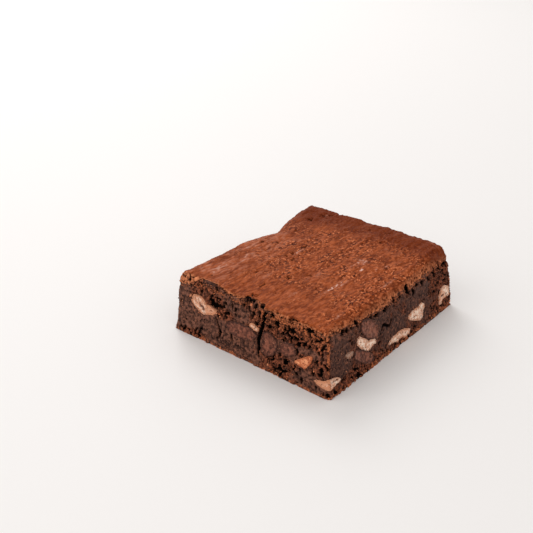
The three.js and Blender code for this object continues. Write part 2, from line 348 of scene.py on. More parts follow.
def rounded(places):
    """The places with the high corner at the back left, where the batter met the tin's corner, rounded"""
    x, y, z = places.T
    dx = np.minimum(x - (low[0] + LEAN["left"] + CORNER_ROUND), 0)
    dy = np.maximum(y - (high[1] - CORNER_INSET - CORNER_ROUND), 0)
    out = np.hypot(dx, dy)
    pull = np.clip(1 - CORNER_ROUND / np.maximum(out, 1e-6), 0, 1)
    pull *= ramp(z, *CORNER_HEIGHTS) * (dx < 0) * (dy > 0)
    return places - np.stack([dx * pull, dy * pull, 0 * z], axis=1)


def inside_crust(places, nearest, depth, along):
    """How far each place is inside the crust's edge, in millimetres, and below zero outside it"""
    heights = np.zeros(len(along))
    for side, (stops, levels) in CRUST_EDGE.items():
        heights = np.where(nearest == SIDES.index(side), np.interp(along, stops, levels), heights)
    above = places[:, 2] - heights
    start = np.interp(along, *CRUST_START)
    cut = np.minimum(depth - start, above + ramp(start, 0, 0.2))
    return np.where(nearest == FRONT, cut, above)


def near_corner(places):
    """1 along the upright edge between the two cut sides, fading to nothing beside it"""
    x, y, z = places.T
    outmost, sideways = (x - y) / math.sqrt(2), (x + y) / math.sqrt(2)
    slices = (z / EDGE_SLICE).astype(int)
    edge = np.full(slices.max() + 1, -np.inf)
    np.maximum.at(edge, slices, outmost)
    crest = outmost > edge[slices] - CREST_REACH
    middle = np.bincount(slices, sideways * crest) / np.maximum(np.bincount(slices, crest), 1)
    return bell(sideways, middle[slices], EDGE_WIDTH) * (outmost > edge[slices] - EDGE_REACH)


def spots(places, nearest, along, marks, ragged):
    """The marks' strengths added up at each place: each mark fades to nothing round its edge"""
    z = places[:, 2]
    total = np.zeros(len(places))
    for side, mid_along, mid_up, half_along, half_up, amount in marks:
        reach = np.hypot((along - mid_along) / half_along, (z - mid_up) / half_up) + ragged
        total += amount * (nearest == SIDES.index(side)) * (1 - ramp(reach, *MARK_FADE))
    return total


def from_line(along, z, points):
    """How far each place is from a crooked line on a side"""
    closest = np.full(len(along), np.inf)
    for (from_along, from_z), (to_along, to_z) in zip(points, points[1:]):
        run, rise = to_along - from_along, to_z - from_z
        share = ((along - from_along) * run + (z - from_z) * rise) / (run * run + rise * rise)
        share = np.clip(share, 0, 1)
        closest = np.minimum(closest, np.hypot(along - from_along - share * run, z - from_z - share * rise))
    return closest


def torn_out(places, nearest, depth, along):
    """How deep the holes and the short cracks are at each place near the side that they are in"""
    tattered = 0.35 * ripples(places, 1.3, 3.1) + 0.5 * ripples(places, 0.7, 4.9)
    tattered += 0.3 * ripples(places, 0.4, 6.9)
    total = spots(places, nearest, along, DEEP_HOLES, tattered)
    for side, half, amount, points in CRACKS:
        reach = from_line(along, places[:, 2], points) / half + 0.3 * tattered
        total = np.maximum(total, amount * (nearest == SIDES.index(side)) * (1 - ramp(reach, 0.6, 1.2)))
    return total * (1 - ramp(depth, 2.6, 3.6))


crumb = new_piece("crumb_block", merged_copy("crumb"))
even_cells(crumb, CRUMB_CELL)
places, normals = places_of(crumb.data)
nearest, depth, along = on_sides(places)
inside = inside_crust(places, nearest, depth, along)
on_front, on_right = nearest == FRONT, nearest == RIGHT
z = places[:, 2]
outwards = facing_out(places, normals)
on_top = ramp(normals[:, 2], 0.35, 0.75) * ramp(z, HEIGHT - 7, HEIGHT - 4)

# How crumbly each place is: smooth and fudgy where it is low, full of pores where it is 1
ragged = 0.35 * ripples(places, 1.3, 3.1)
crumbly = 0.38 + 0.5 * ripples(places, 9, 5.5) + 0.45 * ripples(places, 3.0, 8.1)
crumbly = np.clip(crumbly + spots(places, nearest, along, TEXTURE_ZONES, ragged), 0.1, 1)

# Grains of two sizes, some of which dropped out, the pores between them, and the torn holes
bent = crooked(places, 1.3, 0.5) * (1, 1, 0.75)
_, within, luck = grains(bent, COARSE_GRAIN, 2.0)
_, fine_within, fine_luck = grains(bent, FINE_GRAIN, 5.0)
dropped = ramp(luck, COARSE_DROPPED * crumbly, COARSE_DROPPED * crumbly - 0.08)
fine_dropped = ramp(fine_luck, FINE_DROPPED * crumbly, FINE_DROPPED * crumbly - 0.06) * fine_within
near, _, pore_luck = grains(bent, PORE_SPACING, 11.0)
pore_radius = 0.12 + 0.28 * fine_luck
pores = (pore_luck > 0.82 - 0.55 * crumbly) * (1 - ramp(near / pore_radius, 0.4, 1.0))
holes = torn_out(places, nearest, depth, along)

# How far the surface moves out: soft lumps, grains, holes, a ragged foot and a groove under the lip
shift = 0.16 * ripples(places, 2.6, 1.7) + 0.09 * ripples(places, 0.8, 6.3)
shift += crumbly * (0.5 * within - 0.3 + 0.45 * (luck - 0.5) + 0.2 * fine_within)
shift -= dropped * (0.35 + 0.75 * ramp(within, 0.05, 0.35)) + 0.5 * pores + 0.5 * fine_dropped + holes
ragged_foot = 1.1 * ripples(places * (1, 1, 0.5), 2.0, 9.9)
spread_foot = on_right * (0.2 + 0.5 * bell(along, 27, 14))
shift -= (1 - ramp(z, 0.4, 2.2)) * (ragged_foot - spread_foot)
shift -= 0.45 * bell(inside, -0.9, 0.6) * ~on_front

# Under the crust the surface sinks, and in the cracks, in the pockets and underneath it stays put
under_crust = np.maximum(ramp(inside + ragged, 0.2, 1.7), on_top * (inside > 0))
shift = shift * (1 - on_top) - holes * on_top * (inside < 0) - CRUST_CLEARANCE * under_crust
under_lip = ~on_front * ramp(z, LOWEST_CRUST, LOWEST_CRUST + 1)
inner_walls = ramp(depth, 0.9, 2.2) * (1 - on_top) * (1 - under_lip)
underneath = ramp(-normals[:, 2], 0.3, 0.6) * (z < 1)
shift *= (1 - inner_walls) * (1 - underneath)
shift = np.where((outwards > 0.5) | (normals[:, 2] > 0.35), shift, np.maximum(shift, -INNER_SINK))
corner = near_corner(places)
shift = np.minimum(shift + 0.25 * corner, 0.45 + 0.3 * (1 - ramp(z, 1, 2.5)))
move_to(crumb.data, rounded(places + normals * shift[:, None]))

# Rusty crumbs lie along the foot, in a line at the upper left of the front, under the lip of the crust
# and down the upright corner
band = np.where(on_front, 1.7, 2.6) * (1 + 0.5 * ripples(places, 3.0, 1.9))
rusty = 0.9 * (1 - ramp(z, 0.3 * band, band)) * ramp(fine_luck + 0.5 * ripples(places, 2.2, 6.6), 0.2, 0.7)
rusty += 0.9 * bell(z, RUSTY_LINE, 0.6) * on_front * ramp(along, -29, -26) * ramp(along, -12, -15)
rusty += 0.6 * bell(inside, -0.6, 0.8) * on_front * ramp(along, -14, -9)
rusty += 0.7 * bell(inside, -0.2, 0.5) * ~on_front
rusty += 2.5 * corner * ramp(z, 9.5, 11)
rusty += 0.55 * crumbly * ramp(z, 17, 20) * on_front * (along > 0)

# Painted shade: the holes, the pores, the gaps between grains and the cracks' walls are painted dark, as the
# shade in them, but a smooth grey patch under the crust has little of it
patch = on_front * bell(along, -24, 5) * ramp(z, 23.4, 24.2)
gap_shade = crumbly * (1 - ramp(within, 0.1, 0.42))
wall_shade = ramp(depth, 0.9, 1.5) * (1 - ramp(outwards, 0.3, 0.7)) * (1 - ramp(z, 20, 22))
hollow = 1.1 * dropped * ramp(within, 0.02, 0.2) + pores + 0.9 * fine_dropped + 0.75 * gap_shade
hollow = hollow * (1 - 0.8 * patch) + 1.2 * holes + wall_shade * (on_front | on_right)
paint(
    crumb.data,
    hollow=hollow,
    crumbly=crumbly,
    tone=0.6 * luck + 0.4 * fine_luck,
    rusty=rusty * (0.45 + 0.9 * fine_luck),
    # The grey patch on the front, and painted shade: the right side's smooth places below the crust, turned
    # from the lamps, painted greyer and darker
    greyish=patch + on_right * (1 - ramp(z, 19, 21)) * (1 - crumbly),
    corner=corner,
)
thin_out(crumb, MOST_TRIANGLES)
crumb.data.shade_smooth()


def material_named(name, roughness, specular=0.5):
    """A material and its shader"""
    material = bpy.data.materials.new(name)
    material.use_nodes = True
    shader = material.node_tree.nodes["Principled BSDF"]
    shader.inputs["Roughness"].default_value = roughness
    shader.inputs["Specular IOR Level"].default_value = specular
    return material, shader


def srgb(red, green, blue):
    """A colour as a picture shows it, from 0 to 255, as the light that it reflects"""
    parts = [part / 255 for part in (red, green, blue)]
    linear = [part / 12.92 if part <= 0.04045 else ((part + 0.055) / 1.055) ** 2.4 for part in parts]
    return (*linear, 1)


def mixed(tree, share, first, second):
    """The output of a node that mixes two colours, each a colour or another node's output"""
    mix = tree.nodes.new("ShaderNodeMix")
    mix.data_type = "RGBA"
    for socket, value in zip((mix.inputs[0], mix.inputs[6], mix.inputs[7]), (share, first, second)):
        if isinstance(value, bpy.types.NodeSocket):
            tree.links.new(value, socket)
        else:
            socket.default_value = value
    return mix.outputs[2]


def mapped(tree, value, start, end, first=0.0, last=1.0):
    """The output of a node that maps a range of a value onto another range"""
    node = tree.nodes.new("ShaderNodeMapRange")
    tree.links.new(value, node.inputs["Value"])
    for name, number in zip(("From Min", "From Max", "To Min", "To Max"), (start, end, first, last)):
        node.inputs[name].default_value = number
    return node.outputs["Result"]


def product(tree, first, second):
    """The output of a node that multiplies two values"""
    node = tree.nodes.new("ShaderNodeMath")
    node.operation = "MULTIPLY"
    tree.links.new(first, node.inputs[0])
    tree.links.new(second, node.inputs[1])
    return node.outputs["Value"]


def painted(tree, name):
    """The value that paint() kept under this name"""
    node = tree.nodes.new("ShaderNodeAttribute")
    node.attribute_name = name
    return node.outputs["Fac"]


def speckle_group():
    """A random pattern with lumps of a size in millimetres: 0 up to a start, its strength from an end"""
    group = bpy.data.node_groups.new("speckle", "ShaderNodeTree")
    group.interface.new_socket("Share", in_out="OUTPUT", socket_type="NodeSocketFloat")
    for name in ("Size", "Detail", "Start", "End", "Strength"):
        group.interface.new_socket(name, in_out="INPUT", socket_type="NodeSocketFloat")
    for name in ("Seed", "Stretch"):
        group.interface.new_socket(name, in_out="INPUT", socket_type="NodeSocketVector")
    given = group.nodes.new("NodeGroupInput").outputs
    place = group.nodes.new("ShaderNodeTexCoord").outputs["Object"]
    moved = group.nodes.new("ShaderNodeVectorMath")
    moved.operation = "MULTIPLY_ADD"
    scale = group.nodes.new("ShaderNodeMath")
    scale.operation = "DIVIDE"
    scale.inputs[0].default_value = 1 / MM
    pattern = group.nodes.new("ShaderNodeTexNoise")
    share = group.nodes.new("ShaderNodeMapRange")
    wires = [
        (place, moved.inputs[0]),
        (given["Stretch"], moved.inputs[1]),
        (given["Seed"], moved.inputs[2]),
        (given["Size"], scale.inputs[1]),
        (moved.outputs["Vector"], pattern.inputs["Vector"]),
        (scale.outputs["Value"], pattern.inputs["Scale"]),
        (given["Detail"], pattern.inputs["Detail"]),
        (pattern.outputs["Fac"], share.inputs["Value"]),
        (given["Start"], share.inputs["From Min"]),
        (given["End"], share.inputs["From Max"]),
        (given["Strength"], share.inputs["To Max"]),
        (share.outputs["Result"], group.nodes.new("NodeGroupOutput").inputs["Share"]),
    ]
    for start, end in wires:
        group.links.new(start, end)
    return group


SPECKLE = speckle_group()


def speckle(tree, size, detail, span=(0, 1), strength=1.0, seed=(0, 0, 0), stretch=(1, 1, 1)):
    """The output of a speckle group placed in the tree with these values"""
    node = tree.nodes.new("ShaderNodeGroup")
    node.node_tree = SPECKLE
    values = {"Size": size, "Detail": detail, "Start": span[0], "End": span[1], "Strength": strength}
    values |= {"Seed": seed, "Stretch": stretch}
    for name, value in values.items():
        node.inputs[name].default_value = value
    return node.outputs["Share"]


def tinted(tree, colour, name, start, end, strength, tint):
    """The colour turned to a tint: not at all where a painted value is at start, this strongly at end"""
    return mixed(tree, mapped(tree, painted(tree, name), start, end, 0, strength), colour, tint)


def flecked(tree, colour, tint, size, detail, span, strength, seed=(0, 0, 0), stretch=(1, 1, 1), where=None):
    """The colour with flecks of a tint, all over or as far as a painted value lets them show"""
    share = speckle(tree, size, detail, span, strength, seed, stretch)
    if where:
        share = product(tree, share, painted(tree, where))
    return mixed(tree, share, colour, tint)


def rough_in_hollows(tree, shader):
    """Keeps the shine out of the hollows, which are as rough as can be"""
    roughness = shader.inputs["Roughness"]
    tree.links.new(mapped(tree, painted(tree, "hollow"), 0.1, 0.6, roughness.default_value, 1), roughness)


def bumped(tree, shader, height, distance):
    """Fine relief of this depth in millimetres"""
    bump = tree.nodes.new("ShaderNodeBump")
    bump.inputs["Distance"].default_value = distance * MM
    tree.links.new(height, bump.inputs["Height"])
    tree.links.new(bump.outputs["Normal"], shader.inputs["Normal"])


def dress(piece, look):
    """Gives the piece this material and no other"""
    piece.data.materials.clear()
    piece.data.materials.append(look)


SMEARED_DARK, SMEARED_PALE = srgb(62, 39, 31), srgb(130, 84, 67)
BROKEN_DARK, BROKEN_PALE = srgb(60, 31, 21), srgb(156, 87, 60)
RUSTY_DARK, RUSTY_PALE = srgb(124, 58, 32), srgb(222, 130, 82)
# Grey for the patch on the front, and painted shade for the right side's smooth places
GREY_PATCH_AND_SHADE = srgb(67, 43, 37)
CRUMB_SPECK_DARK, CRUMB_SPECK_PALE = srgb(32, 15, 10), srgb(160, 102, 76)
# Near black, painted as the shade in the hollows
CRUMB_HOLLOW_SHADE = srgb(13, 5, 3)

crumb_look, shader = material_named("moist chocolate crumb", 0.6, 0.07)
tree = crumb_look.node_tree
smeared = mixed(tree, speckle(tree, 1.4, 5, (0.38, 0.62)), SMEARED_DARK, SMEARED_PALE)
broken = mixed(tree, mapped(tree, painted(tree, "tone"), 0.2, 0.8), BROKEN_DARK, BROKEN_PALE)
rusty_crumbs = mixed(tree, painted(tree, "tone"), RUSTY_DARK, RUSTY_PALE)
colour = mixed(tree, mapped(tree, painted(tree, "crumbly"), 0.25, 0.7), smeared, broken)
# The grey patch, and the painted shade on the right side's smooth places
colour = tinted(tree, colour, "greyish", 0, 1, 0.7, GREY_PATCH_AND_SHADE)
colour = tinted(tree, colour, "rusty", 0.3, 0.9, 0.9, rusty_crumbs)
colour = flecked(tree, colour, CRUMB_SPECK_DARK, 0.95, 2, (0.54, 0.62), 0.8, (7, 7, 1))
colour = flecked(tree, colour, CRUMB_SPECK_PALE, 0.85, 2, (0.6, 0.67), 0.65, (3, 1, 2))
# Painted shade in the holes, pores, gaps and cracks
colour = tinted(tree, colour, "hollow", 0.15, 0.8, 1, CRUMB_HOLLOW_SHADE)
tree.links.new(colour, shader.inputs["Base Color"])
rough_in_hollows(tree, shader)
bumped(tree, shader, speckle(tree, 0.5, 4), 0.25)
dress(crumb, crumb_look)
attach(crumb, "root")
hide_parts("crumb")

# The crust
# The top dried in the oven to a thin film that shines a little. Soft ripples run along it, it rolls
# down over the sides and ends in a grainy ragged lip, and pits, cracks and pale flakes mark it. A sheen
# over its far left and highlights on its flakes are painted in, and so is the shade in its pits.

CRUST_CELL = 0.38
CRUST_THICKNESS = 0.45
CRUST_SINK = 0.15
LIP_GRAIN = 0.65
PIT_SPACING = 3.6

# A mark on the crust keeps its full strength up to the first share of its half width, and is gone at the
# second
CRUST_MARK_FADE = (0.3, 1.2)

# Places near the rim where the crust stands a little higher: x, y, half width, half length and lift
HIGH_PLACES = [
    (-18, 46, 14, 5, 0.7),
    (-37, -44, 6, 6, 0.9),
    (36, 45, 5, 5, 0.8),
]

# Small pits: x, y, half width, half length along y and depth
PITS = [
    (-29.4, -1.4, 0.8, 1.0, 0.7),
    (-25.7, 1.1, 0.7, 0.8, 0.6),
    (-23.8, 2.8, 0.9, 1.1, 0.6),
    (-13.2, -1.4, 1.0, 0.9, 0.8),
    (-12.4, 6.8, 0.7, 1.4, 0.8),
    (-13.6, -5.3, 0.7, 1.1, 0.6),
    (-10.0, -5.9, 1.0, 0.8, 0.6),
    (-3.1, -12.8, 0.4, 1.8, 0.4),
    (-1.7, -19.4, 1.1, 1.3, 0.7),
    (3.2, -12.2, 1.2, 0.9, 0.6),
    (-5.7, -30.3, 0.5, 1.9, 0.8),
    (-14.4, -23.3, 0.5, 0.7, 0.5),
    (11.0, -19.4, 0.6, 0.7, 0.6),
    (-25.4, 17.2, 0.6, 0.7, 0.5),
    (-27.4, 30.6, 1.3, 1.5, 0.6),
    (-24.8, 37.2, 1.8, 1.2, 0.5),
    (4.4, -0.6, 0.7, 0.6, 0.5),
    (11.8, -8.6, 1.3, 0.7, 0.4),
    (26.6, -8.3, 1.1, 0.5, 0.6),
    (9.7, 29.4, 0.8, 0.7, 0.5),
    (-6.1, 22.5, 0.6, 0.7, 0.5),
    (7.9, 39.0, 1.4, 0.8, 0.4),
    (-22.6, 39.4, 1.5, 0.8, 0.5),
    (-19.4, 43.0, 1.7, 0.9, 0.5),
    (-16.5, 44.6, 1.6, 0.7, 0.5),
    (4.8, 3.7, 0.6, 0.6, 0.4),
    (-4.0, -38.5, 1.3, 1.0, 0.7),
]

# Pale places where the film lifted, with painted highlights where it catches the light: x, y, half width,
# half length and strength
PALE_AND_GLINTING_PLACES = [
    (15.6, -13.5, 0.8, 8.0, 1.0),
    (17.2, -10.0, 0.5, 5.0, 0.8),
    (16.6, 4.4, 0.6, 2.3, 1.0),
    (12.8, 10.5, 2.2, 3.2, 0.8),
    (20.8, 7.8, 0.5, 2.5, 0.9),
    (-12.0, 1.0, 0.6, 4.0, 0.9),
    (-23.7, 38.3, 0.5, 1.2, 1.0),
    (14.8, 26.1, 0.5, 1.2, 0.6),
    (30.0, 2.3, 0.8, 6.0, 0.7),
    (12.0, 5.5, 0.6, 2.6, 0.8),
    (22.6, 13.0, 0.5, 3.0, 0.8),
    (-17.5, 9.0, 0.7, 3.2, 0.6),
    (29.4, -30.5, 0.7, 3.0, 0.7),
    (5.5, -9.6, 1.0, 2.5, 0.5),
    (-9.4, -24.0, 1.2, 3.2, 0.55),
    (-12.7, -23.0, 0.8, 4.0, 0.4),
    (7.4, -28.6, 0.7, 3.5, 0.65),
    (4.3, -14.0, 0.6, 4.0, 0.4),
    (27.0, 42.5, 3.0, 0.7, 0.6),
    (-25.8, -33.9, 0.9, 3.0, 0.7),
    (-27.4, -23.0, 0.8, 3.5, 0.7),
    (-25.2, -13.0, 0.9, 4.5, 0.7),
    (-22.2, -6.7, 0.8, 5.0, 0.7),
    (-28.0, 3.4, 1.6, 3.0, 0.7),
    (-31.5, -14.0, 1.0, 6.0, 0.6),
    (-31.0, -2.0, 1.4, 5.0, 0.6),
]


def on_crust(places, marks, ragged):
    """The strongest of the marks on the crust at each place"""
    x, y, _ = places.T
    strongest = np.zeros(len(places))
    for mid_x, mid_y, half_x, half_y, amount in marks:
        reach = np.hypot((x - mid_x) / half_x, (y - mid_y) / half_y) + ragged
        strongest = np.maximum(strongest, amount * (1 - ramp(reach, *CRUST_MARK_FADE)))
    return strongest


def keep_largest(bm):
    """Deletes all of the mesh but its largest connected part"""
    unseen, parts = set(bm.verts), []
    while unseen:
        part, border = set(), [unseen.pop()]
        while border:
            vert = border.pop()
            part.add(vert)
            for edge in vert.link_edges:
                other = edge.other_vert(vert)
                if other in unseen:
                    unseen.remove(other)
                    border.append(other)
        parts.append(part)
    largest = max(parts, key=len)
    loose = [vert for part in parts if part is not largest for vert in part]
    bmesh.ops.delete(bm, geom=loose, context="VERTS")


crust = new_piece("crust", merged_copy("crumb"))
even_cells(crust, CRUST_CELL)
places, normals = places_of(crust.data)
nearest, depth, along = on_sides(places)
on_front = nearest == FRONT
x, y, z = places.T
ragged = ripples(places, 1.4, 4.4) + 0.6 * ripples(places, 0.6, 9.2)
inside = inside_crust(places, nearest, depth, along) - 0.8 * ragged
inside -= 1.6 * torn_out(places, nearest, depth, along)
kept = (inside > 0) & ((normals[:, 2] > 0.45) | (depth < 2.2) | (~on_front & (z > LOWEST_CRUST)))

# Ripples that run from front to back, a crumpled strip at the back, and the places that stand higher
to_back = ramp(y, 22, 36)
to_left = ramp(x, -12, -26) * (1 - ramp(y, 6, 16))
streaks = ripples(places * (1, 0.28, 1), 2.0, 7.0)
small_streaks = ripples(places * (1, 0.4, 1), 0.9, 2.2)
crumple = ripples(places, 1.9, 12.0) + 0.6 * ripples(places, 0.9, 15.0)
relief = 0.24 * streaks + 0.09 * small_streaks + 0.04 * ripples(places, 0.7, 5.7) + 0.32 * to_back * crumple
relief += 0.25 * ripples(places * (1, 0.5, 1), 5.0, 1.1)
for mid_x, mid_y, half_x, half_y, lift in HIGH_PLACES:
    relief += lift * bell(x, mid_x, half_x) * bell(y, mid_y, half_y) * ramp(z, 20, 23)

# Where the film is grainy, where it is pitted, and where it flaked pale, with painted highlights on the
# flakes
grainy_film = 0.6 + 0.9 * ripples(places, 8, 17.0) + 0.5 * ripples(places, 3, 19.0)
grainy_film = np.clip(grainy_film - 0.5 * ramp(y, -18, -30) * ramp(x, 34, 24) - 0.35 * to_left, 0.08, 1)
specks = 0.7 * ripples(places, 0.8, 3.3)
near, _, luck = grains(crooked(places, 2.0, 0.8), PIT_SPACING, 8.0)
small_pits = 0.5 * (luck > 0.72) * (1 - ramp(near / 0.16, 0.4, 1.0))
pits = np.maximum(on_crust(places, PITS, 2.6 * specks), small_pits)
wisps = ripples(places * (1, 0.3, 1), 0.55, 6.1) + 0.5 * ripples(places * (1, 0.5, 1), 0.3, 1.1)
flakes_and_glints = on_crust(places, PALE_AND_GLINTING_PLACES, 1.2 * specks) * ramp(wisps, -0.5, 0.15)

# The ragged lip, whose grains stand proud or have dropped out
_, within, luck = grains(crooked(places, 1.1, 0.7), LIP_GRAIN, 4.0)
grainy = np.maximum(np.exp(-np.clip(inside, 0, None) / 1.5), 0.8 * bell(depth, 0.4, 1.6))
grainy *= np.where(on_front, 1 - ramp(inside, 0.7, 1.6), ramp(z, HEIGHT - 1.2, HEIGHT - 2.2))
grainy += 0.9 * on_front * ramp(along, -26, -28) * (1 - ramp(depth, 1.0, 2.4))
grainy = np.clip(grainy, 0, 1)
dropped = grainy * (luck < 0.2)
relief = relief * (1 - 0.5 * grainy) + grainy * (0.5 * within - 0.3 + 0.4 * (luck - 0.5)) - 0.4 * dropped
lip = np.exp(-np.clip(inside, 0, None)) * (~on_front + 1.5 * (along < -28))
shift = relief - CRUST_SINK - pits + 0.25 * lip + 0.05 * flakes_and_glints
move_to(crust.data, rounded(places + normals * shift[:, None]))

# Painted sheen: the far left of the film is painted pale over its ripples, as the lamp's shine on them, and
# the rest of it only in its flakes, which are partly pale film and partly painted highlight
painted_sheen = 0.62 * to_left * ramp(0.6 * streaks + 0.9 * small_streaks + 0.3 * specks, -0.05, 0.5)
pale = np.where(to_left > 0.3, np.maximum(painted_sheen, 0.65 * flakes_and_glints), flakes_and_glints)
paint(
    crust.data,
    # Painted shade: the pits, the places of dropped grains and the gaps between the lip's grains are painted
    # dark
    hollow=1.2 * pits + 0.9 * dropped + 0.9 * grainy * (1 - ramp(within, 0.1, 0.4)),
    grainy=grainy,
    tone=luck * np.where(nearest <= RIGHT, 1, 0.6),
    # A faint painted sheen on the ripples' crests all over
    pale=pale + 0.1 * ramp(streaks, 0.2, 0.6),
    film=grainy_film,
    streaky=0.5 + 0.8 * streaks + 0.5 * small_streaks,
    baked=0.9 * to_back + 0.45 * ramp(x, -16, -26) * ramp(y, 8, 18),
)

bm = bmesh.new()
bm.from_mesh(crust.data)
bm.verts.ensure_lookup_table()
below_edge = [bm.verts[i] for i in np.flatnonzero(~kept)]
bmesh.ops.delete(bm, geom=below_edge, context="VERTS")
keep_largest(bm)
rim = [vert for vert in bm.verts if vert.is_boundary]
bmesh.ops.smooth_vert(bm, verts=rim, factor=0.5, use_axis_x=True, use_axis_y=True, use_axis_z=True)
bm.to_mesh(crust.data)
bm.free()
shell = crust.modifiers.new("thickness", "SOLIDIFY")
shell.thickness = CRUST_THICKNESS * MM
shell.offset = -1
bake_modifiers(crust)
thin_out(crust, MOST_TRIANGLES)
crust.data.shade_smooth()

FILM_DARK, FILM_PALE = srgb(130, 58, 26), srgb(152, 72, 34)
STREAK_PALE, STREAK_BROWN, STREAK_DARK = srgb(180, 94, 54), srgb(108, 46, 19), srgb(94, 38, 16)
FILM_SPECK_DARK, FILM_SPECK_PALE = srgb(74, 28, 12), srgb(224, 130, 84)
BAKED_DARK = srgb(104, 40, 14)
# Pale lifted film with a painted sheen, and a painted highlight
PALE_FILM_AND_SHEEN, PAINTED_HIGHLIGHT = srgb(184, 116, 90), srgb(230, 190, 176)
LIP_DARK, LIP_PALE = srgb(88, 38, 21), srgb(248, 156, 108)
# Painted as the shade in the pits and in the lip's gaps
CRUST_HOLLOW_SHADE = srgb(34, 13, 7)

crust_look, shader = material_named("baked crust", 0.45, 0.025)
tree = crust_look.node_tree
lip_grains = mixed(tree, painted(tree, "tone"), LIP_DARK, LIP_PALE)
colour = mixed(tree, speckle(tree, 12, 2, (0.35, 0.65)), FILM_DARK, FILM_PALE)
colour = flecked(tree, colour, STREAK_PALE, 1.1, 3, (0.42, 0.58), 0.75, (0, 0, 0), (1, 0.35, 1))
colour = tinted(tree, colour, "streaky", 0.5, 0.1, 0.5, STREAK_BROWN)
colour = flecked(tree, colour, STREAK_DARK, 0.9, 2, (0.54, 0.62), 0.45, (1, 6, 3), (1, 0.3, 1))
colour = flecked(tree, colour, FILM_SPECK_DARK, 1.0, 2, (0.51, 0.59), 0.95, (5, 2, 1), (1, 0.55, 1), "film")
colour = flecked(tree, colour, FILM_SPECK_PALE, 0.9, 2, (0.57, 0.64), 0.9, (8, 4, 2), (1, 0.7, 1), "film")
colour = tinted(tree, colour, "baked", 0, 1, 0.85, BAKED_DARK)
# Painted sheen over pale film, and at its palest a painted highlight
colour = tinted(tree, colour, "pale", 0, 0.7, 0.7, PALE_FILM_AND_SHEEN)
colour = tinted(tree, colour, "pale", 0.6, 1, 0.9, PAINTED_HIGHLIGHT)
colour = tinted(tree, colour, "grainy", 0.2, 0.9, 0.85, lip_grains)
# Painted shade in the pits and the gaps
colour = tinted(tree, colour, "hollow", 0.1, 0.9, 1, CRUST_HOLLOW_SHADE)
tree.links.new(colour, shader.inputs["Base Color"])
rough_in_hollows(tree, shader)
bumped(tree, shader, speckle(tree, 0.9, 4, stretch=(1, 0.5, 1)), 0.35)
dress(crust, crust_look)
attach(crust, "root")

# The nuts
# Pieces of pale nut baked into the crumb. The knife went through them, so each shows a flat cut face
# with ragged edges level with the side, and one has kept its toasted red-brown skin.

NUT_CELL = 0.22
NUT_GROWTH = 0.36
NUTS = [name for name in nodes if name.startswith("nut_")]

# Toasted places on the nuts: side, place along it, height, radius and how much
TOASTED = [
    ("front", -19, 14, 4.5, 0.7),
    ("front", -27, 15, 5, 0.45),
    ("front", -31, 17, 2, 0.6),
    ("front", 1, 15.5, 3, 0.4),
    ("front", 34, 5.5, 5, 0.6),
    ("right", -45, 5, 2, 0.5),
    ("right", 5, 4, 5, 0.3),
    ("right", 37, 7, 3, 0.4),
]

# Brown on the nuts: a stain from crumb and chocolate on the nut at the right, and on the long nut at the
# front a brown streak and painted shade in its notches: side, place along it, height, half width, half
# height and how much
STAINS_AND_SHADE = [
    ("right", -31.5, 12.2, 4.5, 4.5, 0.6),
    ("front", -18.4, 16.2, 2.2, 0.9, 0.95),
    ("front", -28.0, 18.6, 1.6, 0.5, 0.8),
    ("front", -25.8, 15.4, 0.7, 0.9, 0.6),
    ("front", -24.8, 14.6, 0.9, 0.8, 0.9),
    ("front", -23.8, 13.8, 1.0, 0.7, 0.9),
]

# Hollows in the nuts' cut faces: side, place along it, height, half width, half height and depth
NUT_HOLLOWS = [
    ("front", -24.4, 14.3, 0.9, 0.7, 0.25),
    ("front", -28.2, 16.7, 0.3, 0.9, 0.3),
    ("front", -30.2, 16.8, 0.3, 1.3, 0.6),
    ("front", -20.0, 14.3, 0.5, 0.3, 0.4),
    ("front", 1.9, 15.9, 0.3, 0.9, 0.4),
    ("right", -42.0, 6.4, 1.9, 0.3, 0.8),
    ("right", -40.4, 6.2, 0.4, 0.5, 0.8),
    ("right", 4.9, 4.7, 0.5, 0.5, 0.8),
    ("right", 7.2, 3.6, 0.4, 0.4, 0.8),
    ("right", 0.6, 3.9, 1.0, 0.3, 0.6),
    ("right", 3.4, 5.3, 0.4, 0.6, 0.4),
    ("right", 14.6, 7.6, 1.3, 0.3, 0.7),
    ("right", 20.2, 7.4, 0.3, 1.6, 0.8),
    ("right", 18.8, 9.4, 0.3, 1.0, 0.6),
    ("right", 19.6, 5.6, 0.6, 0.4, 0.6),
    ("right", 37.6, 7.4, 1.4, 0.5, 0.9),
    ("right", 40.6, 7.0, 0.9, 0.5, 0.8),
    ("right", -19.6, 12.6, 0.4, 0.8, 0.4),
]


def fitted_piece(node, look, cell, growth, face_shift):
    """A piece in its pocket: its hidden part grows to fill the pocket's gap, and its cut face is shifted"""
    piece = new_piece(node + "_piece", merged_copy(node))
    even_cells(piece, cell)
    places, normals = places_of(piece.data)
    nearest, _, along = on_sides(places)
    facing = ramp((normals * FACES[nearest]).sum(axis=1), 0.6, 0.9)
    hidden = kdtree.KDTree(len(places))
    for i in np.flatnonzero(facing < 0.3):
        hidden.insert(Vector(places[i]), int(i))
    hidden.balance()
    from_rim = np.array([hidden.find(Vector(place))[2] for place in places])
    face_relief, layers = face_shift(places, nearest, along, from_rim)
    side_relief = growth + 0.12 * ripples(places, 0.9, 7.7)
    shift = side_relief * (1 - facing) + face_relief * facing
    move_to(piece.data, places + normals * shift[:, None])
    paint(piece.data, **layers)
    piece.data.shade_smooth()
    dress(piece, look)
    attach(piece, "root")
    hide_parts(node)
    return piece


